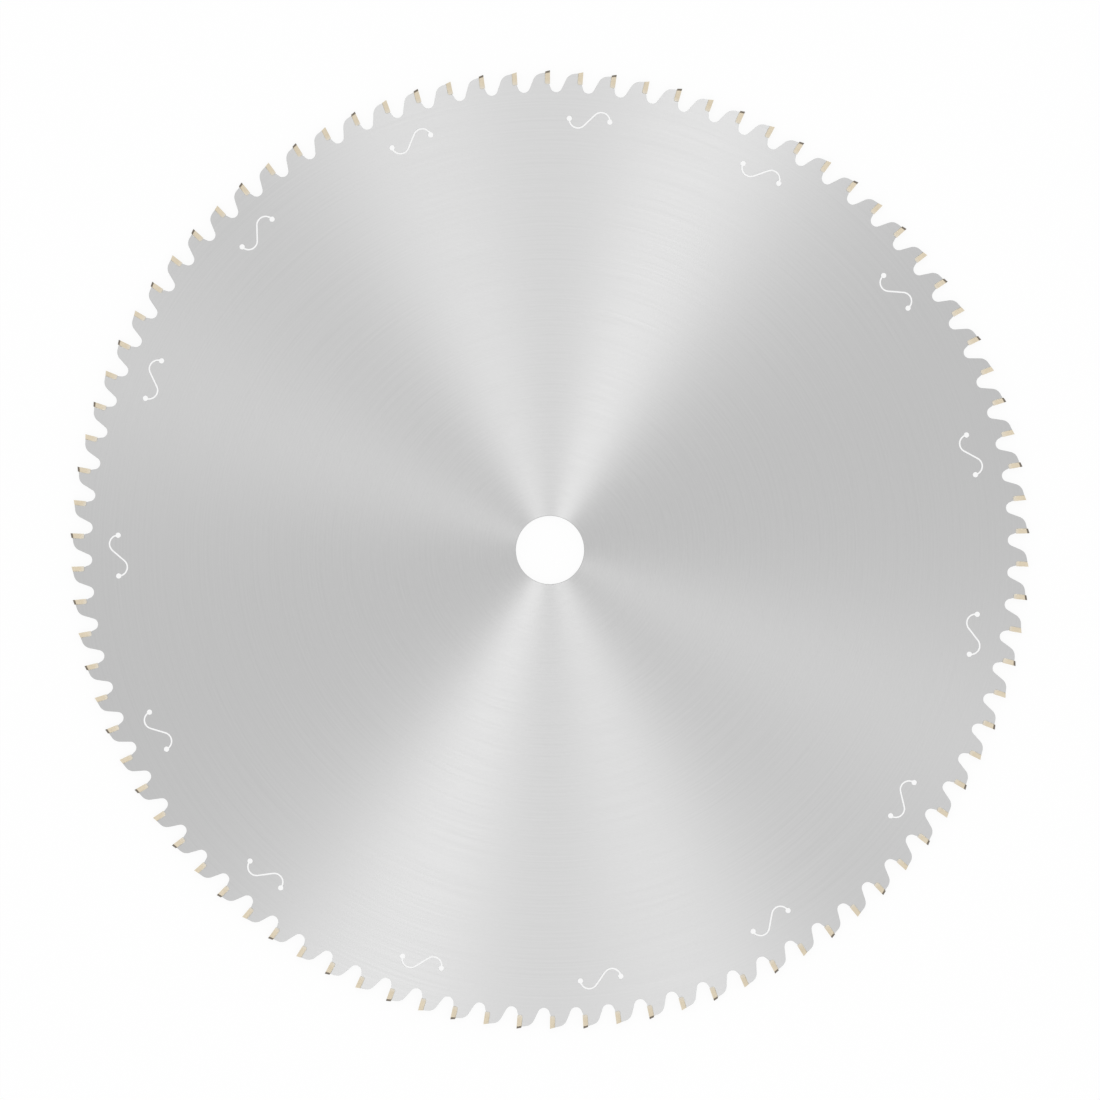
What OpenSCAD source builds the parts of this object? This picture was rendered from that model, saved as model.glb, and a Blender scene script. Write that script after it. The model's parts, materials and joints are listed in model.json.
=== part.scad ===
// Circular saw blade with brazed carbide tips, in millimetres.
// The blade lies flat: +Z is its axis, the origin is the middle of the bore.
// The teeth alternate: a high tip with bevelled corners, then a lower tip ground straight across.
// They cut clockwise, seen from above.

/* [Plate] */
// Diameter over the high teeth
blade_d = 450; // [350:5:600]
// Diameter of the arbor bore
bore_d = 32; // [20:0.5:60]
// Width of the bevel that breaks both edges of the bore
bore_edge = 0.3; // [0.1:0.05:0.8]
// Thickness of the steel plate
plate_t = 3.2; // [2.2:0.1:4.5]

/* [Teeth] */
// Distance from tooth to tooth round the rim, before it is fitted to whole sectors
tooth_pitch = 15.7; // [14:0.1:20]
// Pairs of high and low teeth in a sector
sector_pairs = 3; // [2:1:6]
// Rake of the tooth face from the radius, leaning forward
hook_deg = 0; // [-6:1:12]
// Slope of the tooth's land behind the tip
land_deg = 12; // [8:1:18]
// Radius of the shoulder between land and flank
shoulder_r = 4.6; // [2:0.1:6]
// Slope of the flank from the radius
flank_deg = 22; // [16:1:30]

/* [Gullets] */
// Radius of the gullet's floor
gullet_r = 2.8; // [2:0.05:3.5]
// Depth of the gullet's floor below the tip's seat
gullet_drop = 3.85; // [2.8:0.05:6]
// How far the gullet's wall stands ahead of the tooth face
gullet_lead = 0.15; // [0:0.05:0.6]

/* [Carbide tips] */
// Thickness of a tip behind its face
tip_t = 2.2; // [1.8:0.1:3.2]
// Length of a high tip's face
tip_l = 6.3; // [5:0.1:9]
// Bevel on the tip's inner corner, which the seat's corner follows
tip_corner = 0.4; // [0.1:0.05:0.8]
// How far a tip stands out from the plate on each side
tip_set = 0.4; // [0.3:0.05:0.8]
// How much lower the flat tips are than the high ones
flat_drop = 0.45; // [0.2:0.05:0.8]
// Relief of the tip's top, falling backwards
top_relief = 15; // [8:1:20]
// Relief of the tip's sides, towards the bore
radial_relief = 1.5; // [0.5:0.25:2]
// Relief of the tip's sides, towards the back
side_relief = 3; // [1:0.5:4]
// Width of the bevel on a high tip's corners
bevel_w = 1; // [0.5:0.05:1.4]
// Angle of the bevel on a high tip's corners
bevel_deg = 45; // [30:1:60]

/* [Seats] */
// Thickness of the braze between tip and seat
braze_t = 0.15; // [0.1:0.05:0.3]
// How far the seat's floor ends behind the tooth face
seat_toe = 0.35; // [0.1:0.05:0.5]
// How far the land starts below the line of a flat tip's top
land_step = 0.02; // [0:0.01:0.3]

/* [Expansion slots] */
// Distance of a slot's middle from the rim
slot_inset = 22.6; // [20:0.1:40]
// Place of the first slot, in teeth from the first high tooth
slot_shift = 1.315; // [0:0.005:2]
// Width of the cut
slot_w = 0.75; // [0.3:0.05:1]
// Radius of the two bends, at the middle of the cut
slot_r = 4.1; // [3:0.1:4.8]
// Distance of each bend's centre from the slot's middle
slot_reach = 5.45; // [5.1:0.05:7]
// Diameter of the hole at each end
slot_hole_d = 2.5; // [1.5:0.1:3]

/* [Hidden] */

$fn = 120;

blade_r = blade_d / 2;
bore_r = bore_d / 2;
kerf = plate_t + 2 * tip_set;

// Whole sectors round the rim, each with one slot
sectors = round(PI * blade_d / (2 * sector_pairs * tooth_pitch));
sector_deg = 360 / sectors;
pairs = sectors * sector_pairs;
pitch_deg = 180 / pairs;

// A tooth's own frame: origin on the cutting edge of a high tip, x forward off the face, y up the face
relief_deg = top_relief + hook_deg;
flat_top = -flat_drop / cos(hook_deg);
seat_x = -tip_t - braze_t;
seat_y = -tip_l - braze_t;
seat_corner = tip_corner + (2 - sqrt(2)) * braze_t;
land_y = flat_top + seat_x * tan(relief_deg) - land_step;

// A straight edge runs into an arc at this small angle, so that the two cross cleanly
blend_deg = 4;
blend = cos(blend_deg);

// Extra stock on a tip that its grinding takes off, and the reach of a cut past what it cuts
grind_stock = 1;
cut = 4 * tip_l;

steel = "#CDCDCD";
carbide = "#DDCEB6";
braze_alloy = "#E3D3A2";

function turn(p, a) = [p.x * cos(a) - p.y * sin(a), p.x * sin(a) + p.y * cos(a)];

// A point of the tooth's own frame, carried n teeth round the bore, counter-clockwise
function carry(p, n) =
    let (rim = [0, blade_r])
    turn(turn(turn(p, -hook_deg) + rim, n * pitch_deg) - rim, hook_deg);

// The point that lies d1 along the direction n1 and d2 along n2
function meet(n1, d1, n2, d2) =
    [d1 * n2.y - d2 * n1.y, n1.x * d2 - n2.x * d1] / (n1.x * n2.y - n2.x * n1.y);

// Where the line from p touches the left side of a circle of centre c and radius r
function touch(p, c, r) =
    let (d = c - p, a = atan2(d.y, d.x) - asin(r / norm(d)))
    p + sqrt(d * d - r * r) * [cos(a), sin(a)];

// Gullet ahead of a tooth, and the one behind it
gullet_c = [gullet_lead + gullet_r, seat_y - gullet_drop + gullet_r];
gullet_back_c = carry(gullet_c, 1);
toe = [-seat_toe, seat_y];

// Back of a tooth: the land falls from the seat, the flank runs down into the gullet behind
land_end = [seat_x, land_y];
land_up = turn([-sin(land_deg), cos(land_deg)], hook_deg);
land_fore = [land_up.y, -land_up.x];
flank_in = turn([cos(flank_deg), -sin(flank_deg)], hook_deg);
land_at = land_end * land_up;
flank_at = gullet_back_c * flank_in + gullet_r * blend;

// The shoulder's radius is limited by the length of the land
heel = meet(flank_in, flank_at, land_up, land_at);
heel_turn = 90 - flank_deg - land_deg;
shoulder = min(shoulder_r, norm(heel - land_end) / tan(heel_turn / 2));
shoulder_c = meet(flank_in, flank_at + shoulder * blend, land_up, land_at - shoulder * blend);

slot_ring_r = blade_r - slot_inset;

module each_tooth(first) {
    for (i = [first : 2 : 2 * pairs - 1])
        rotate(-i * pitch_deg)
            translate([0, blade_r])
                rotate(-hook_deg)
                    children();
}

// What is cut away between a tooth's seat and face and the back of the next tooth
module gap_outline() {
    own_front = [
        [seat_x, tip_l],
        [seat_x, seat_y + seat_corner],
        [seat_x + seat_corner, seat_y],
        toe,
        touch(toe, gullet_c, gullet_r * blend),
        gullet_c,
    ];
    back = [
        gullet_back_c + gullet_r * blend * flank_in,
        shoulder_c - shoulder * blend * flank_in,
        shoulder_c,
        shoulder_c + shoulder * blend * land_up,
        land_end + tip_t / 2 * land_fore,
        [seat_x + tip_t / 2, tip_l],
    ];
    difference() {
        union() {
            polygon(concat(own_front, [for (p = back) carry(p, -1)]));
            translate(gullet_c) circle(gullet_r);
        }
        translate(carry(shoulder_c, -1)) circle(shoulder);
    }
}

// One bank of an S-shaped slot, and all that lies above it: a trough, a straight run, a crest
module slot_bank() {
    lean = asin(slot_r * blend / slot_reach);
    run_down = [sin(lean), -cos(lean)];
    trough_r = slot_r + slot_w / 2;
    crest_r = slot_r - slot_w / 2;
    reach = [slot_reach, 0];
    hole_y = slot_hole_d / 4;
    far = 2 * slot_reach;
    difference() {
        union() {
            polygon([
                -reach,
                trough_r * blend * run_down - reach,
                reach - crest_r * blend * run_down,
                reach,
                [slot_reach, hole_y],
                [far, hole_y],
                [far, far],
                [-far, far],
                [-far, hole_y],
                [-slot_reach, hole_y],
            ]);
            translate(-reach) circle(trough_r);
        }
        translate(reach) circle(crest_r);
    }
}

// Expansion slot: the cut between two like banks, with a hole at each end
module slot_outline() {
    intersection() {
        slot_bank();
        rotate(180) slot_bank();
    }
    for (side = [-1, 1])
        translate([side * (slot_reach + slot_r), 0])
            circle(slot_hole_d / 2);
}

module plate_outline() {
    difference() {
        circle(blade_r);
        for (first = [0, 1])
            each_tooth(first) gap_outline();
        for (i = [0 : sectors - 1])
            rotate(-i * sector_deg - slot_shift * pitch_deg)
                translate([0, slot_ring_r])
                    slot_outline();
    }
}

module blade_body() {
    color(steel)
        difference() {
            linear_extrude(plate_t, center = true) plate_outline();
            cylinder(h = 2 * plate_t, r = bore_r, center = true);
            for (side = [0, 1])
                mirror([0, 0, side])
                    translate([0, 0, plate_t / 2 - bore_edge])
                        cylinder(h = 2 * bore_edge, r1 = bore_r, r2 = bore_r + 2 * bore_edge);
        }
}

// Side of a tip, ground to fall away towards the bore and towards the back
module side_grind() {
    translate([0, 0, kerf / 2])
        rotate([radial_relief, -side_relief, 0])
            translate([-cut / 2, -cut / 2, 0])
                cube(cut);
}

// Bevel on a corner of a high tip, along the slope of its top
module corner_bevel() {
    rotate(relief_deg)
        translate([0, 0, kerf / 2 - bevel_w])
            rotate([bevel_deg, 0, 0])
                translate([-cut / 2, 0, -cut / 2])
                    cube(cut);
}

// Tip with its top edge at top_y on the tooth face
module tip(top_y, bevelled) {
    difference() {
        linear_extrude(kerf + grind_stock, center = true)
            polygon([
                [0, top_y],
                [-tip_t, top_y - tip_t * tan(relief_deg)],
                [-tip_t, tip_corner - tip_l],
                [tip_corner - tip_t, -tip_l],
                [0, -tip_l],
            ]);
        for (side = [0, 1])
            mirror([0, 0, side]) {
                side_grind();
                if (bevelled) corner_bevel();
            }
    }
}

module trapezoid_tips() {
    color(carbide) each_tooth(0) tip(0, true);
}

module flat_tips() {
    color(carbide) each_tooth(1) tip(flat_top, false);
}

// L-shaped film behind and under a tip, as thick as the plate
module braze_seam() {
    linear_extrude(plate_t, center = true)
        polygon([
            [seat_x, land_y],
            [-tip_t, land_y],
            [-tip_t, tip_corner - tip_l],
            [tip_corner - tip_t, -tip_l],
            [-seat_toe, -tip_l],
            [-seat_toe, seat_y],
            [seat_x + seat_corner, seat_y],
            [seat_x, seat_y + seat_corner],
        ]);
}

module braze_seams() {
    color(braze_alloy)
        for (first = [0, 1])
            each_tooth(first) braze_seam();
}

blade_body();
trapezoid_tips();
flat_tips();
braze_seams();
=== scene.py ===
import json
import math

import bmesh
import bpy
from mathutils import Matrix, Vector


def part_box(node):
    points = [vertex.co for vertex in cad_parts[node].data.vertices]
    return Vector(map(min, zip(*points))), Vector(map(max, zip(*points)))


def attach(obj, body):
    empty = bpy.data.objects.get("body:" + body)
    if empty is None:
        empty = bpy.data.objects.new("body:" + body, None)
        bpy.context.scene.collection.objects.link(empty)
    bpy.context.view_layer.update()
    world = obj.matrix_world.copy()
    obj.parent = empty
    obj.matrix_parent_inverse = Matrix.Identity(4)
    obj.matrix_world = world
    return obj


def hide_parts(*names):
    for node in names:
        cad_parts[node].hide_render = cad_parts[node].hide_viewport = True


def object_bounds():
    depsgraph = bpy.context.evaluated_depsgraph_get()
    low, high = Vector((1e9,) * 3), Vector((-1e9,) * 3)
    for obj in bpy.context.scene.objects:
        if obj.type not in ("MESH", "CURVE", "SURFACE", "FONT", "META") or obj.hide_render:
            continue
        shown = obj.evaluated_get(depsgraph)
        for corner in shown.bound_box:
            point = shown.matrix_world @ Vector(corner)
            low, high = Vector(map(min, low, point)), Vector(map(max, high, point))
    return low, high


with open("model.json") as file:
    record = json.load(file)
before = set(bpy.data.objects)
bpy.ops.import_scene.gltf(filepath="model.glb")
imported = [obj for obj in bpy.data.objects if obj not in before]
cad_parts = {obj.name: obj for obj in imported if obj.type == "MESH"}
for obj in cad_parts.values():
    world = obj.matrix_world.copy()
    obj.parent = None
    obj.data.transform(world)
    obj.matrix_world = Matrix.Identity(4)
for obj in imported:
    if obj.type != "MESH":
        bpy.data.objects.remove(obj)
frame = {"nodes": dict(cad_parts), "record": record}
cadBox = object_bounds()
scene = bpy.context.scene
mm = 0.001
mergeDistance = 0.001 * mm

plateLow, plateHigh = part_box("blade_body")
plateThick = plateHigh.z - plateLow.z
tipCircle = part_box("trapezoid_tips")[1].y  # the top tooth's cutting edge lies on +Y
boreRadius = frame["record"]["mounts"][0]["dims"]["r_mm"] * mm
print("frame loaded: plate %.2f mm thick, tip circle %.1f mm" % (plateThick / mm, 2 * tipCircle / mm))


# Small helpers for every tree and every piece
def hexColour(code):  # sRGB hex to linear, by the standard's own formula
    channels = [int(code[i:i + 2], 16) / 255 for i in (1, 3, 5)]
    linear = [c / 12.92 if c <= 0.04045 else ((c + 0.055) / 1.055) ** 2.4 for c in channels]
    return (*linear, 1.0)


# Sockets go by name or by number: in a Mix node 0 is the factor, 2 and 3 are numbers, 6 and 7 are colours
def addNode(tree, kind, links=None, **settings):
    node = tree.nodes.new(kind)
    for name, value in settings.items():
        setattr(node, name, value)
    for socket, source in (links or {}).items():
        if isinstance(source, bpy.types.NodeSocket):
            tree.links.new(source, node.inputs[socket])
        else:
            node.inputs[socket].default_value = source
    return node


def newTree(name, inputs):
    tree = bpy.data.node_groups.new(name, "GeometryNodeTree")
    tree.interface.new_socket("Geometry", in_out="INPUT", socket_type="NodeSocketGeometry")
    for label, kind in inputs.items():
        tree.interface.new_socket(label, in_out="INPUT", socket_type="NodeSocket" + kind)
    tree.interface.new_socket("Geometry", in_out="OUTPUT", socket_type="NodeSocketGeometry")
    return tree, addNode(tree, "NodeGroupInput").outputs


def growPiece(name, tree, points, edges, sizes):  # runs a tree once on an outline, keeps the plain mesh
    outline = bpy.data.meshes.new(name + "Outline")
    outline.from_pydata(points, edges, [])
    piece = bpy.data.objects.new(name, outline)
    scene.collection.objects.link(piece)
    modifier = piece.modifiers.new("pattern", "NODES")
    modifier.node_group = tree
    for item in tree.interface.items_tree:
        if item.in_out == "INPUT" and item.name in sizes:
            modifier[item.identifier] = sizes[item.name]
    depsgraph = bpy.context.evaluated_depsgraph_get()
    grown = bpy.data.meshes.new_from_object(piece.evaluated_get(depsgraph), depsgraph=depsgraph)
    piece.modifiers.clear()
    piece.data = grown
    if grown.materials[0] is None:  # Set Material leaves an empty first slot
        grown.materials.pop(index=0)
    bpy.data.meshes.remove(outline)
    return piece


def closeMesh(piece, sharpAngle):  # merged, facing outwards, smooth but for its real edges
    shell = bmesh.new()
    shell.from_mesh(piece.data)
    bmesh.ops.remove_doubles(shell, verts=shell.verts, dist=mergeDistance)
    bmesh.ops.recalc_face_normals(shell, faces=shell.faces)
    shell.to_mesh(piece.data)
    shell.free()
    piece.data.shade_smooth()
    piece.data.set_sharp_from_angle(angle=math.radians(sharpAngle))


def repeatAround(tree, geometry, count):  # copies clockwise round the bore, made real
    one = addNode(tree, "GeometryNodeGeometryToInstance", {0: geometry}).outputs[0]
    copies = addNode(tree, "GeometryNodeDuplicateElements", {"Geometry": one, "Amount": count},
                     domain="INSTANCE").outputs
    share = addNode(tree, "ShaderNodeMath", {0: -2 * math.pi, 1: count}, operation="DIVIDE").outputs[0]
    angle = addNode(tree, "ShaderNodeMath", {0: copies[1], 1: share}, operation="MULTIPLY").outputs[0]
    spin = addNode(tree, "ShaderNodeCombineXYZ", {2: angle}).outputs[0]
    placed = addNode(tree, "GeometryNodeRotateInstances",
                     {"Instances": copies[0], "Rotation": spin, "Local Space": False}).outputs[0]
    return addNode(tree, "GeometryNodeRealizeInstances", {0: placed}).outputs[0]


def arcPoints(centre, radius, startDeg, endDeg, steps):
    angles = [math.radians(startDeg + (endDeg - startDeg) * i / steps) for i in range(steps + 1)]
    return [centre + radius * Vector((math.cos(a), math.sin(a))) for a in angles]


def crossing(normalA, reachA, normalB, reachB):  # the point reachA along normalA and reachB along normalB
    flat = Matrix(((normalA.x, normalA.y), (normalB.x, normalB.y)))
    return flat.inverted() @ Vector((reachA, reachB))


def compass(degrees):  # unit vector, counted from +X
    return Vector((math.cos(math.radians(degrees)), math.sin(math.radians(degrees))))


def turned(point, degrees):
    return Matrix.Rotation(math.radians(degrees), 2) @ point


def angleOf(vector):
    return math.degrees(math.atan2(vector.y, vector.x))


# Materials
def newMaterial(name):
    material = bpy.data.materials.new(name)
    material.use_nodes = True
    tree = material.node_tree
    return material, tree, tree.nodes["Principled BSDF"], addNode(tree, "ShaderNodeTexCoord").outputs


def roundTheBore(tree, place):  # place in the plate's plane, distance from the bore's axis, and height
    flat = addNode(tree, "ShaderNodeVectorMath", {0: place, 1: (1, 1, 0)}, operation="MULTIPLY").outputs[0]
    radius = addNode(tree, "ShaderNodeVectorMath", {0: flat}, operation="LENGTH").outputs["Value"]
    height = addNode(tree, "ShaderNodeSeparateXYZ", {0: place}).outputs[2]
    return flat, radius, height


def lyingShare(tree, normal, limits):  # 0 on walls, 1 on faces that lie flat, by their normal's height
    upright = addNode(tree, "ShaderNodeSeparateXYZ", {0: normal}).outputs[2]
    facing = addNode(tree, "ShaderNodeMath", {0: upright}, operation="ABSOLUTE").outputs[0]
    return addNode(tree, "ShaderNodeMapRange",
                   {"Value": facing, "From Min": limits[0], "From Max": limits[1]}).outputs[0]


def finishMetal(tree, shader, tone, marks, roughness, relief, depth):
    # The marks set how rough it is between two limits, and the relief is bumped by its depth in mm
    smooth, rough = roughness
    gloss = addNode(tree, "ShaderNodeMapRange",
                    {"Value": marks, "To Min": smooth, "To Max": rough}).outputs[0]
    bump = addNode(tree, "ShaderNodeBump",
                   {"Height": relief, "Distance": depth * mm, "Strength": 1.0}).outputs[0]
    tree.links.new(tone, shader.inputs["Base Color"])
    tree.links.new(gloss, shader.inputs["Roughness"])
    tree.links.new(bump, shader.inputs["Normal"])
    shader.inputs["Metallic"].default_value = 1.0


steelLook = {
    "ringPitch": 1.1,  # mm; real grinding rings lie 0.05 mm apart, too fine to show, so drawn coarser
    "ringDepth": 0.004,  # mm
    "ringSpread": (0.32, 0.68),  # part of the noise that is spread over the tones
    "finerRings": 7.0, "finerShare": 0.6,  # layers of finer rings, each with this share of the last one
    "arcCount": 2.2,  # how often a ring changes round the blade
    "ringTones": ("#C5C5C5", "#CDCDCD"),
    "cutPitch": 0.35, "cutRun": 16.0,  # mm, spacing and length of the laser's marks on the cut walls
    "cutDetail": 2.0,  # layers of finer marks
    "cutTones": ("#A3A2A0", "#C6C5C3"),
    "roughness": (0.38, 0.45), "anisotropy": 0.95,
    "faceLimits": (0.3, 0.6),  # height of the normal on a cut wall and on a ground face
    "boreMargin": 1.0,  # mm round the bore that is reamed, not cut
}


def groundSteel():
    # Alloy tool steel, surface ground in fine rings round the bore: light spreads across the rings and not
    # along them, so every lamp draws a bright pair of sectors through the bore
    material, tree, shader, coords = newMaterial("ground tool steel")
    place = coords["Object"]
    flat, radius, height = roundTheBore(tree, place)
    outward = addNode(tree, "ShaderNodeVectorMath", {0: flat}, operation="NORMALIZE").outputs[0]
    reach = addNode(tree, "ShaderNodeMath", {0: radius, 1: height}, operation="ADD").outputs[0]
    pitch = steelLook["ringPitch"] * mm
    ring = addNode(tree, "ShaderNodeMath", {0: reach, 1: pitch}, operation="DIVIDE").outputs[0]
    arc = addNode(tree, "ShaderNodeVectorMath", {0: outward, "Scale": steelLook["arcCount"]},
                  operation="SCALE").outputs[0]
    around = addNode(tree, "ShaderNodeSeparateXYZ", {0: arc}).outputs
    ringPlace = addNode(tree, "ShaderNodeCombineXYZ", {0: around[0], 1: around[1], 2: ring}).outputs[0]
    ringNoise = addNode(tree, "ShaderNodeTexNoise", {
        "Vector": ringPlace, "Scale": 1.0, "Detail": steelLook["finerRings"],
        "Roughness": steelLook["finerShare"]}).outputs[0]
    spreadLow, spreadHigh = steelLook["ringSpread"]
    rings = addNode(tree, "ShaderNodeMapRange",
                    {"Value": ringNoise, "From Min": spreadLow, "From Max": spreadHigh}).outputs[0]
    across, along = 1 / (steelLook["cutPitch"] * mm), 1 / (steelLook["cutRun"] * mm)
    cutPlace = addNode(tree, "ShaderNodeVectorMath", {0: place, 1: (across, across, along)},
                       operation="MULTIPLY").outputs[0]
    cuts = addNode(tree, "ShaderNodeTexNoise",
                   {"Vector": cutPlace, "Scale": 1.0, "Detail": steelLook["cutDetail"]}).outputs[0]
    onFace = lyingShare(tree, coords["Normal"], steelLook["faceLimits"])
    reamed = boreRadius + steelLook["boreMargin"] * mm
    inBore = addNode(tree, "ShaderNodeMath", {0: radius, 1: reamed}, operation="LESS_THAN").outputs[0]
    ringed = addNode(tree, "ShaderNodeMath", {0: onFace, 1: inBore}, operation="MAXIMUM").outputs[0]
    ringDark, ringPale = [hexColour(tone) for tone in steelLook["ringTones"]]
    cutDark, cutPale = [hexColour(tone) for tone in steelLook["cutTones"]]
    ringTone = addNode(tree, "ShaderNodeMix", {0: rings, 6: ringDark, 7: ringPale},
                       data_type="RGBA").outputs[2]
    cutTone = addNode(tree, "ShaderNodeMix", {0: cuts, 6: cutDark, 7: cutPale}, data_type="RGBA").outputs[2]
    tone = addNode(tree, "ShaderNodeMix", {0: ringed, 6: cutTone, 7: ringTone}, data_type="RGBA").outputs[2]
    relief = addNode(tree, "ShaderNodeMix", {0: ringed, 2: cuts, 3: rings}).outputs[0]
    finishMetal(tree, shader, tone, rings, steelLook["roughness"], relief, steelLook["ringDepth"])
    tree.links.new(outward, shader.inputs["Tangent"])
    shader.inputs["Anisotropic"].default_value = steelLook["anisotropy"]
    return material


carbideLook = {
    "gritPitch": 0.12,  # mm; the wheel's real scratches are about 0.01 mm apart, drawn coarser to show
    "scratchRun": 1.5, "scratchDepth": 0.003,  # mm
    "scratchDetail": 3.0,  # layers of finer scratches
    "tintPitch": 4.0,  # mm, size of the patches in the straw tint
    "tintShare": 0.65,  # part of the tint that is patches, the rest is scratches
    # the second pair is painted shade: a dark grey standing in for the dark reflection on bevels and faces
    "sideTones": ("#BEB199", "#D4CAB7"), "shadedFaceTones": ("#6A6258", "#8C8377"),
    "paleEnd": (6.3, 4.6),  # mm below the tip circle, where the tint is palest and where it starts to fade
    "paleShare": 0.4, "paleTone": "#CFCDCA",
    "roughness": (0.3, 0.42),
    "sideLimits": (0.85, 0.95),  # height of the normal on a bevel or face and on a side
}


def groundCarbide():
    # Cemented carbide, ground with a diamond wheel: straw-tinted sides that pale towards the braze below,
    # and a painted dark reflection on the bevels and faces, coloured by which way each face points
    material, tree, shader, coords = newMaterial("ground cemented carbide")
    place = coords["Object"]
    onSide = lyingShare(tree, coords["Normal"], carbideLook["sideLimits"])
    flat, radius, height = roundTheBore(tree, place)
    # Scratches follow the plate's plane on the faces and tops, and run round the blade on the sides
    step = addNode(tree, "ShaderNodeMix", {0: onSide, 2: height, 3: radius}).outputs[0]
    raised = addNode(tree, "ShaderNodeCombineXYZ", {2: step}).outputs[0]
    path = addNode(tree, "ShaderNodeVectorMath", {0: flat, 1: raised}, operation="ADD").outputs[0]
    fine, along = 1 / (carbideLook["gritPitch"] * mm), 1 / (carbideLook["scratchRun"] * mm)
    scratchPlace = addNode(tree, "ShaderNodeVectorMath", {0: path, 1: (along, along, fine)},
                           operation="MULTIPLY").outputs[0]
    scratches = addNode(tree, "ShaderNodeTexNoise", {
        "Vector": scratchPlace, "Scale": 1.0, "Detail": carbideLook["scratchDetail"]}).outputs[0]
    patches = addNode(tree, "ShaderNodeTexNoise",
                      {"Vector": place, "Scale": 1 / (carbideLook["tintPitch"] * mm)}).outputs[0]
    tint = addNode(tree, "ShaderNodeMix",
                   {0: carbideLook["tintShare"], 2: scratches, 3: patches}).outputs[0]
    sideDark, sidePale = [hexColour(tone) for tone in carbideLook["sideTones"]]
    shadedFaceDark, shadedFacePale = [hexColour(tone) for tone in carbideLook["shadedFaceTones"]]
    straw = addNode(tree, "ShaderNodeMix", {0: tint, 6: sideDark, 7: sidePale}, data_type="RGBA").outputs[2]
    palest, fadeStart = [tipCircle - drop * mm for drop in carbideLook["paleEnd"]]
    fade = addNode(tree, "ShaderNodeMapRange", {
        "Value": radius, "From Min": palest, "From Max": fadeStart,
        "To Min": carbideLook["paleShare"], "To Max": 0.0}).outputs[0]
    sideTone = addNode(tree, "ShaderNodeMix", {0: fade, 6: straw, 7: hexColour(carbideLook["paleTone"])},
                       data_type="RGBA").outputs[2]
    # painted shade for the bevels and faces: the dark grey, varied a little by the scratches
    shadedFaceTone = addNode(tree, "ShaderNodeMix", {0: scratches, 6: shadedFaceDark, 7: shadedFacePale},
                       data_type="RGBA").outputs[2]
    # by which way each face points: the painted dark reflection on bevels and faces, the pale straw on the
    # sides
    tone = addNode(tree, "ShaderNodeMix", {0: onSide, 6: shadedFaceTone, 7: sideTone},
                   data_type="RGBA").outputs[2]
    finishMetal(tree, shader, tone, scratches, carbideLook["roughness"], scratches,
                carbideLook["scratchDepth"])
    return material


brazeLook = {
    "ripplePitch": 0.6, "rippleDepth": 0.02,  # mm
    "rippleDetail": 2.0,  # layers of finer ripples
    "tones": ("#BFB9AA", "#D6D1C4"), "roughness": (0.25, 0.45),
}


def silverBraze():
    # Silver braze, flowed and frozen: silvery with a touch of yellow, softly rippled
    material, tree, shader, coords = newMaterial("flowed silver braze")
    spacing = 1 / (brazeLook["ripplePitch"] * mm)
    ripples = addNode(tree, "ShaderNodeTexNoise", {
        "Vector": coords["Object"], "Scale": spacing, "Detail": brazeLook["rippleDetail"]}).outputs[0]
    dark, pale = [hexColour(tone) for tone in brazeLook["tones"]]
    tone = addNode(tree, "ShaderNodeMix", {0: ripples, 6: dark, 7: pale}, data_type="RGBA").outputs[2]
    finishMetal(tree, shader, tone, ripples, brazeLook["roughness"], ripples, brazeLook["rippleDepth"])
    return material


steel = groundSteel()
carbide = groundCarbide()
braze = silverBraze()
print("materials made")


# Outline of one tooth in its own frame: origin on a high tip's cutting edge, x off the face, y up the face
tooth = {  # mm, degrees and counts
    "sectors": 15, "teethPerSector": 6,
    "tipThick": 2.2, "tipLength": 6.3, "tipCorner": 0.4, "flatDrop": 0.45, "topRelief": 15,
    "brazeThick": 0.15, "toeBack": 0.35,
    "landStep": 0.02, "landSlope": 12, "shoulderRadius": 4.6, "flankSlope": 22,
    "gulletRadius": 2.8, "gulletDrop": 3.85, "gulletLead": 0.15,
    "shoulderSteps": 8, "gulletSteps": 18,
}
teethCount = tooth["sectors"] * tooth["teethPerSector"]
pitchDeg = 360 / teethCount
rimRadius = tipCircle / mm
seatX = -tooth["tipThick"] - tooth["brazeThick"]
seatY = -tooth["tipLength"] - tooth["brazeThick"]
# The braze keeps its thickness round the tip's bevelled inner corner
seatCorner = tooth["tipCorner"] + (2 - math.sqrt(2)) * tooth["brazeThick"]
landY = -tooth["flatDrop"] + seatX * math.tan(math.radians(tooth["topRelief"])) - tooth["landStep"]


def onRim(point, count):  # carries a point of the tooth's frame to the blade's frame, count teeth clockwise
    return turned(point + Vector((0, rimRadius)), -count * pitchDeg)


def toothOutline():  # clockwise round the blade: shoulder, land, seat, toe, gullet
    gulletRadius, shoulderRadius = tooth["gulletRadius"], tooth["shoulderRadius"]
    gulletMid = Vector((tooth["gulletLead"] + gulletRadius, seatY - tooth["gulletDrop"] + gulletRadius))
    rim = Vector((0, rimRadius))
    gulletBehind = turned(gulletMid + rim, pitchDeg) - rim
    landEnd = Vector((seatX, landY))
    landUp = compass(90 + tooth["landSlope"])
    flankIn = compass(-tooth["flankSlope"])
    shoulderMid = crossing(flankIn, gulletBehind.dot(flankIn) + gulletRadius + shoulderRadius,
                           landUp, landEnd.dot(landUp) - shoulderRadius)
    shoulder = arcPoints(shoulderMid, shoulderRadius, 180 - tooth["flankSlope"], 90 + tooth["landSlope"],
                         tooth["shoulderSteps"])
    seat = [Vector((seatX, seatY + seatCorner)), Vector((seatX + seatCorner, seatY))]
    toe = Vector((-tooth["toeBack"], seatY))
    toGullet = gulletMid - toe
    opening = math.degrees(math.acos(gulletRadius / toGullet.length))
    gullet = arcPoints(gulletMid, gulletRadius, 180 + angleOf(toGullet) + opening,
                       360 - tooth["flankSlope"] - pitchDeg, tooth["gulletSteps"])
    return shoulder + [landEnd] + seat + [toe] + gullet


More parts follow.
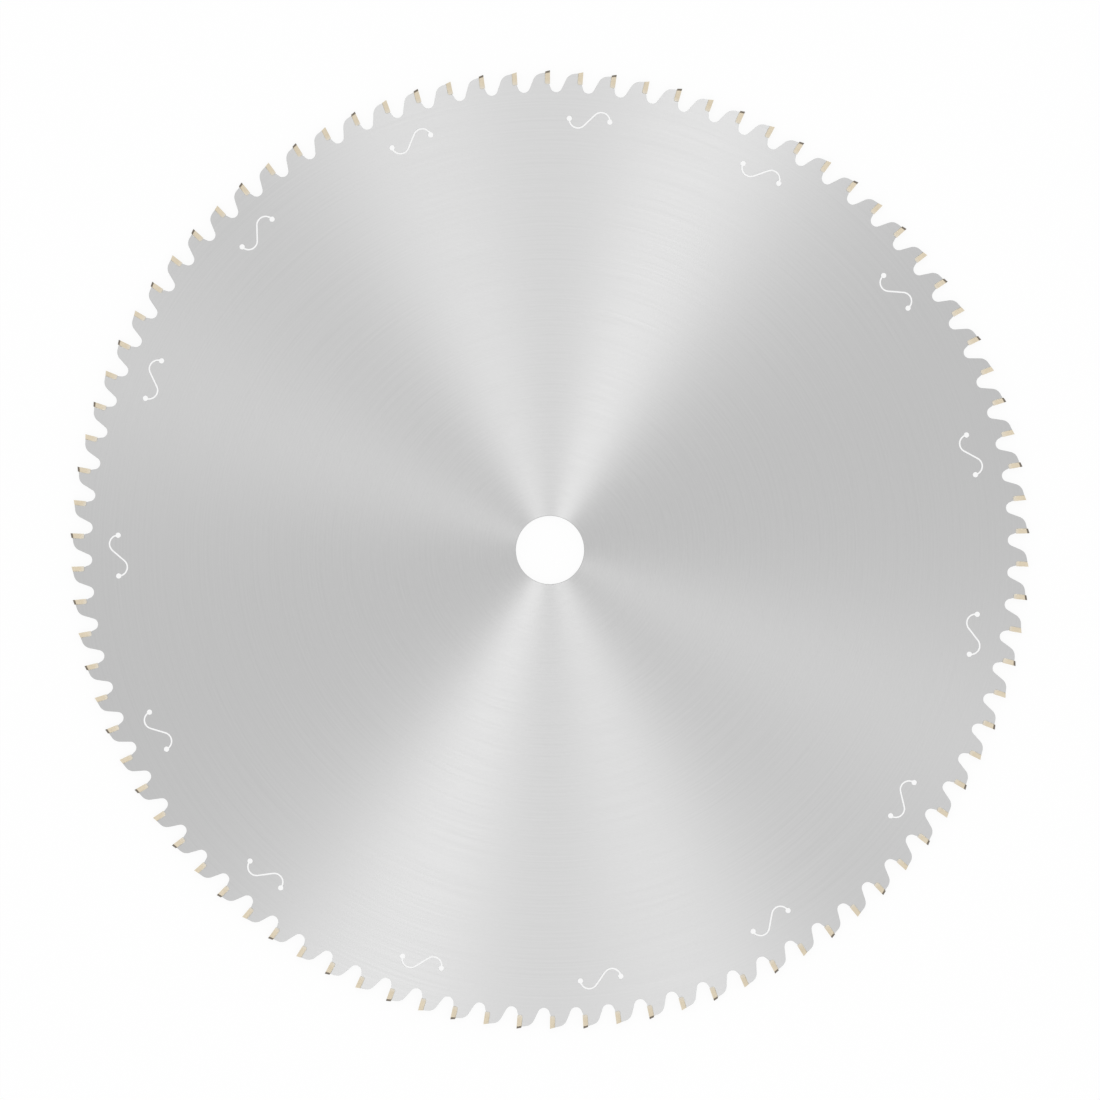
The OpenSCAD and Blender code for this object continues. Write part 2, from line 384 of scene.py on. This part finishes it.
# Outline of one expansion slot: a trough, a straight run and a crest, then the same turned by half a turn
slot = {  # mm and counts
    "inset": 22.6, "shift": 1.315,  # shift is in teeth from the first high tooth
    "width": 0.75, "bendRadius": 4.1, "reach": 5.45, "holeRadius": 1.25,
    "bendSteps": 14, "holeSteps": 20,
}


def slotOutline():
    bend, hole, half = slot["bendRadius"], slot["holeRadius"], slot["width"] / 2
    run = 90 - math.degrees(math.asin(bend / slot["reach"]))
    trough, crest = Vector((-slot["reach"], 0)), Vector((slot["reach"], 0))
    outer, inner = bend + half, bend - half

    def meetsHole(bank):  # where a bank enters the hole, as angles at the bend's and the hole's centres
        atBend = math.degrees(math.acos((bank ** 2 + bend ** 2 - hole ** 2) / (2 * bank * bend)))
        atHole = math.degrees(math.acos((hole ** 2 + bend ** 2 - bank ** 2) / (2 * hole * bend)))
        return atBend, atHole

    outerBend, outerHole = meetsHole(outer)
    innerBend, innerHole = meetsHole(inner)
    holeMid = crest + Vector((bend, 0))
    bank = arcPoints(trough, outer, 180 + outerBend, 360 - run, slot["bendSteps"])
    bank += arcPoints(crest, inner, 180 - run, innerBend, slot["bendSteps"])
    bank += arcPoints(holeMid, hole, 180 - innerHole, 540 - outerHole, slot["holeSteps"])[1:-1]
    return bank + [-p for p in bank]


def sectorOutline():  # six teeth as an open line and one slot as a closed loop, in metres
    rim = [onRim(p, i) for i in range(tooth["teethPerSector"]) for p in toothOutline()]
    rim.append(onRim(toothOutline()[0], tooth["teethPerSector"]))
    ring = Vector((0, rimRadius - slot["inset"]))
    loop = [turned(p + ring, -slot["shift"] * pitchDeg) for p in slotOutline()]
    first = len(rim)
    edges = [(i, i + 1) for i in range(first - 1)]
    edges += [(first + i, first + (i + 1) % len(loop)) for i in range(len(loop))]
    return [(p.x * mm, p.y * mm, 0) for p in rim + loop], edges


# The plate: fifteen sectors closed to one rim, edges swept with a small bevel, then filled on both sides
plate = {"edgeBreak": 0.03, "boreEdge": 0.3, "boreSteps": 180, "sharpAngle": 25}  # mm, counts and degrees


def edgeProfile(tree, half, edge):  # open section of an edge, from one face of the plate to the other
    inner = addNode(tree, "ShaderNodeMath", {0: half, 1: edge}, operation="SUBTRACT").outputs[0]
    corners = []
    for along, up in ((edge, half), (0.0, inner)):
        corners.append(addNode(tree, "ShaderNodeCombineXYZ", {0: along, 1: up}).outputs[0])
    for corner in corners[::-1]:
        flipped = addNode(tree, "ShaderNodeVectorMath", {0: corner, 1: (1, -1, 1)}, operation="MULTIPLY")
        corners.append(flipped.outputs[0])
    choice = addNode(tree, "GeometryNodeIndexSwitch", data_type="VECTOR")
    for _ in corners[2:]:
        choice.index_switch_items.new()
    tree.links.new(addNode(tree, "GeometryNodeInputIndex").outputs[0], choice.inputs[0])
    for i, corner in enumerate(corners):
        tree.links.new(corner, choice.inputs[i + 1])
    line = addNode(tree, "GeometryNodeMeshLine", {"Count": len(corners)}).outputs[0]
    section = addNode(tree, "GeometryNodeSetPosition",
                      {"Geometry": line, "Position": choice.outputs[0]}).outputs[0]
    return addNode(tree, "GeometryNodeMeshToCurve", {"Mesh": section}).outputs[0]


def plateTree():
    tree, sizes = newTree("blade plate", {
        "Sectors": "Int", "Thickness": "Float", "Edge break": "Float", "Bore radius": "Float",
        "Bore edge": "Float", "Bore steps": "Int", "Material": "Material"})
    sectors = repeatAround(tree, sizes["Geometry"], sizes["Sectors"])
    closed = addNode(tree, "GeometryNodeMergeByDistance",
                     {"Geometry": sectors, "Distance": mergeDistance}).outputs[0]
    outline = addNode(tree, "GeometryNodeMeshToCurve", {"Mesh": closed}).outputs[0]
    bore = addNode(tree, "GeometryNodeCurvePrimitiveCircle",
                   {"Resolution": sizes["Bore steps"], "Radius": sizes["Bore radius"]}).outputs[0]
    half = addNode(tree, "ShaderNodeMath", {0: sizes["Thickness"], 1: 0.5}, operation="MULTIPLY").outputs[0]
    walls = addNode(tree, "GeometryNodeJoinGeometry")
    for path, edge in ((outline, sizes["Edge break"]), (bore, sizes["Bore edge"])):
        level = addNode(tree, "GeometryNodeSetCurveNormal", {"Curve": path}, mode="Z_UP").outputs[0]
        swept = addNode(tree, "GeometryNodeCurveToMesh",
                        {"Curve": level, "Profile Curve": edgeProfile(tree, half, edge)}).outputs[0]
        tree.links.new(swept, walls.inputs[0])
    whole = addNode(tree, "GeometryNodeJoinGeometry", {0: walls.outputs[0]})
    position = addNode(tree, "GeometryNodeInputPosition").outputs[0]
    height = addNode(tree, "ShaderNodeSeparateXYZ", {0: position}).outputs[2]
    nearly = addNode(tree, "ShaderNodeMath", {0: half, 1: mergeDistance}, operation="SUBTRACT").outputs[0]
    for side in (1, -1):
        level = addNode(tree, "ShaderNodeMath", {0: height, 1: side}, operation="MULTIPLY").outputs[0]
        onFace = addNode(tree, "ShaderNodeMath", {0: level, 1: nearly}, operation="GREATER_THAN").outputs[0]
        rims = addNode(tree, "GeometryNodeSeparateGeometry",
                       {"Geometry": walls.outputs[0], "Selection": onFace}, domain="EDGE").outputs[0]
        loops = addNode(tree, "GeometryNodeMeshToCurve", {"Mesh": rims}).outputs[0]
        cap = addNode(tree, "GeometryNodeFillCurve", {"Curve": loops}, mode="TRIANGLES").outputs[0]
        lift = addNode(tree, "ShaderNodeMath", {0: half, 1: side}, operation="MULTIPLY").outputs[0]
        shift = addNode(tree, "ShaderNodeCombineXYZ", {2: lift}).outputs[0]
        raised = addNode(tree, "GeometryNodeTransform", {"Geometry": cap, "Translation": shift}).outputs[0]
        tree.links.new(raised, whole.inputs[0])
    sealed = addNode(tree, "GeometryNodeMergeByDistance",
                     {"Geometry": whole.outputs[0], "Distance": mergeDistance}).outputs[0]
    solid = addNode(tree, "GeometryNodeRealizeInstances", {0: sealed}).outputs[0]
    dressed = addNode(tree, "GeometryNodeSetMaterial",
                      {"Geometry": solid, "Material": sizes["Material"]}).outputs[0]
    addNode(tree, "NodeGroupOutput", {0: dressed})
    return tree


bladePlate = growPiece("bladePlate", plateTree(), *sectorOutline(), {
    "Sectors": tooth["sectors"], "Thickness": plateThick, "Edge break": plate["edgeBreak"] * mm,
    "Bore radius": boreRadius, "Bore edge": plate["boreEdge"] * mm, "Bore steps": plate["boreSteps"],
    "Material": steel})
closeMesh(bladePlate, plate["sharpAngle"])
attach(bladePlate, "root")
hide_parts("blade_body")
print("plate grown: %d faces" % len(bladePlate.data.polygons))


# Tips and seams keep their solids
for name, material in (("trapezoid_tips", carbide), ("flat_tips", carbide), ("braze_seams", braze)):
    for materialSlot in frame["nodes"][name].material_slots:
        materialSlot.material = material
print("tips and seams dressed")


# Braze that was squeezed out: a thin bead along each seam, on both sides of the plate
bead = {  # mm, counts and degrees
    "radius": 0.17, "sides": 6,
    "endTaper": 0.45,  # share of the radius that is left at the ends
    "bendRadius": 0.35, "bendSteps": 2, "sharpAngle": 70,
}


def beadPath():  # down the back of the tip and forward under it, in the first tooth's place
    mid = tooth["brazeThick"] / 2
    back, under = seatX + mid, seatY + mid
    toe = -tooth["toeBack"]
    bend, steps = bead["bendRadius"], bead["bendSteps"]
    turn = 45  # degrees; the seat's corner is bevelled, so the path bends twice
    past = seatCorner + bend * math.tan(math.radians(turn / 2))  # from the square corner to a bend's arc
    path = [Vector((back, landY)), Vector((back, (landY + under) / 2))]
    path += arcPoints(Vector((back + bend, under + past)), bend, 180, 180 + turn, steps)
    path += arcPoints(Vector((back + past, under + bend)), bend, 180 + turn, 180 + 2 * turn, steps)
    path += [Vector((toe - tooth["tipThick"] / 2, under)), Vector((toe, under))]
    edges = [(i, i + 1) for i in range(len(path) - 1)]
    points = [onRim(p, 0) for p in path]
    return [(p.x * mm, p.y * mm, plateThick / 2) for p in points], edges


def beadTree():
    tree, sizes = newTree("braze beads", {
        "Teeth": "Int", "Bead radius": "Float", "Sides": "Int", "End taper": "Float",
        "Material": "Material"})
    path = addNode(tree, "GeometryNodeMeshToCurve", {"Mesh": sizes["Geometry"]}).outputs[0]
    ends = addNode(tree, "GeometryNodeCurveEndpointSelection").outputs[0]
    slim = addNode(tree, "GeometryNodeSwitch", {0: ends, 1: 1.0, 2: sizes["End taper"]},
                   input_type="FLOAT").outputs[0]
    section = addNode(tree, "GeometryNodeCurvePrimitiveCircle",
                      {"Resolution": sizes["Sides"], "Radius": sizes["Bead radius"]}).outputs[0]
    run = addNode(tree, "GeometryNodeCurveToMesh",
                  {"Curve": path, "Profile Curve": section, "Scale": slim, "Fill Caps": True}).outputs[0]
    under = addNode(tree, "GeometryNodeTransform", {"Geometry": run, "Scale": (1, 1, -1)}).outputs[0]
    faced = addNode(tree, "GeometryNodeFlipFaces", {"Mesh": under}).outputs[0]
    both = addNode(tree, "GeometryNodeJoinGeometry", {0: run})
    tree.links.new(faced, both.inputs[0])
    real = repeatAround(tree, both.outputs[0], sizes["Teeth"])
    dressed = addNode(tree, "GeometryNodeSetMaterial",
                      {"Geometry": real, "Material": sizes["Material"]}).outputs[0]
    addNode(tree, "NodeGroupOutput", {0: dressed})
    return tree


brazeBeads = growPiece("brazeBeads", beadTree(), *beadPath(), {
    "Teeth": teethCount, "Bead radius": bead["radius"] * mm, "Sides": bead["sides"],
    "End taper": bead["endTaper"], "Material": braze})
closeMesh(brazeBeads, bead["sharpAngle"])
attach(brazeBeads, "root")
print("braze beads grown: %d faces" % len(brazeBeads.data.polygons))


# Stage: a white floor that keeps a soft shadow, a white surround, and lamps that draw the bright sectors
studio = {
    "floorSize": 12.0,  # m
    "floorGlow": 0.92,  # share of the floor that shows as plain white
    "floorTone": "#F4F4F4",
    "surround": 0.88,  # light of the surround on dull surfaces
    "lampDistance": 2.6, "lampSize": 0.5,  # m
}
lamps = {  # bearing clockwise from +Y and tilt from straight above in degrees, W; each has a twin opposite
    "keyLamp": (21, 25, 2.75), "fillLamp": (342, 25, 2.2), "sideLamp": (114, 25, 1.0),
}


def seenDirectly(tree):  # 1 for what the camera or a reflection sees, 0 for light on dull surfaces
    path = addNode(tree, "ShaderNodeLightPath").outputs
    shiny = addNode(tree, "ShaderNodeMath", {0: path["Is Glossy Ray"], 1: path["Is Transmission Ray"]},
                    operation="MAXIMUM").outputs[0]
    return addNode(tree, "ShaderNodeMath", {0: path["Is Camera Ray"], 1: shiny},
                   operation="MAXIMUM").outputs[0]


def paleFloor():
    # Matt white studio paper, lit so evenly that it shows as white but for a soft shadow
    material, tree, shader, _ = newMaterial("matt white studio paper")
    tree.nodes.remove(shader)
    dull = addNode(tree, "ShaderNodeBsdfDiffuse", {"Color": hexColour(studio["floorTone"])}).outputs[0]
    glow = addNode(tree, "ShaderNodeEmission", {"Color": (1, 1, 1, 1), "Strength": 1.0}).outputs[0]
    part = addNode(tree, "ShaderNodeMath", {0: seenDirectly(tree), 1: studio["floorGlow"]},
                   operation="MULTIPLY").outputs[0]
    mixed = addNode(tree, "ShaderNodeMixShader", {0: part, 1: dull, 2: glow}).outputs[0]
    tree.links.new(mixed, tree.nodes["Material Output"].inputs["Surface"])
    return material


floorMesh = bpy.data.meshes.new("floor")
floorReach, floorLevel = studio["floorSize"] / 2, cadBox[0].z
corners = [(floorReach * x, floorReach * y, floorLevel) for x, y in ((-1, -1), (1, -1), (1, 1), (-1, 1))]
floorMesh.from_pydata(corners, [], [(0, 1, 2, 3)])
floorMesh.materials.append(paleFloor())
floor = bpy.data.objects.new("floor", floorMesh)
scene.collection.objects.link(floor)

world = bpy.data.worlds.new("white surround")
scene.world = world
world.use_nodes = True
background = world.node_tree.nodes["Background"]
strength = addNode(world.node_tree, "ShaderNodeMapRange", {
    "Value": seenDirectly(world.node_tree), "To Min": studio["surround"], "To Max": 1.0}).outputs[0]
background.inputs["Color"].default_value = (1, 1, 1, 1)
world.node_tree.links.new(strength, background.inputs["Strength"])

for name, (bearing, tilt, power) in lamps.items():
    lamp = bpy.data.lights.new(name, "AREA")
    lamp.shape = "DISK"
    lamp.size = studio["lampSize"]
    lamp.energy = power
    for side in (1, -1):
        holder = bpy.data.objects.new(name, lamp)
        across = side * compass(90 - bearing) * math.sin(math.radians(tilt))
        aim = Vector((across.x, across.y, math.cos(math.radians(tilt))))
        holder.location = aim * studio["lampDistance"]
        holder.rotation_euler = aim.to_track_quat("Z", "Y").to_euler()
        scene.collection.objects.link(holder)
print("stage set: %d pairs of lamps" % len(lamps))


# Camera straight above the blade, +Y up
view = {"lens": 1000.0, "sensor": 36.0, "frameWidth": 515.8}  # mm, a very long lens; width on the plate
cameraData = bpy.data.cameras.new("camera")
cameraData.lens = view["lens"]
cameraData.sensor_width = view["sensor"]
camera = bpy.data.objects.new("camera", cameraData)
camera.location = (0, 0, plateThick / 2 + view["frameWidth"] * mm * view["lens"] / view["sensor"])
scene.collection.objects.link(camera)
scene.camera = camera
scene.view_settings.view_transform = "Standard"

print("done")
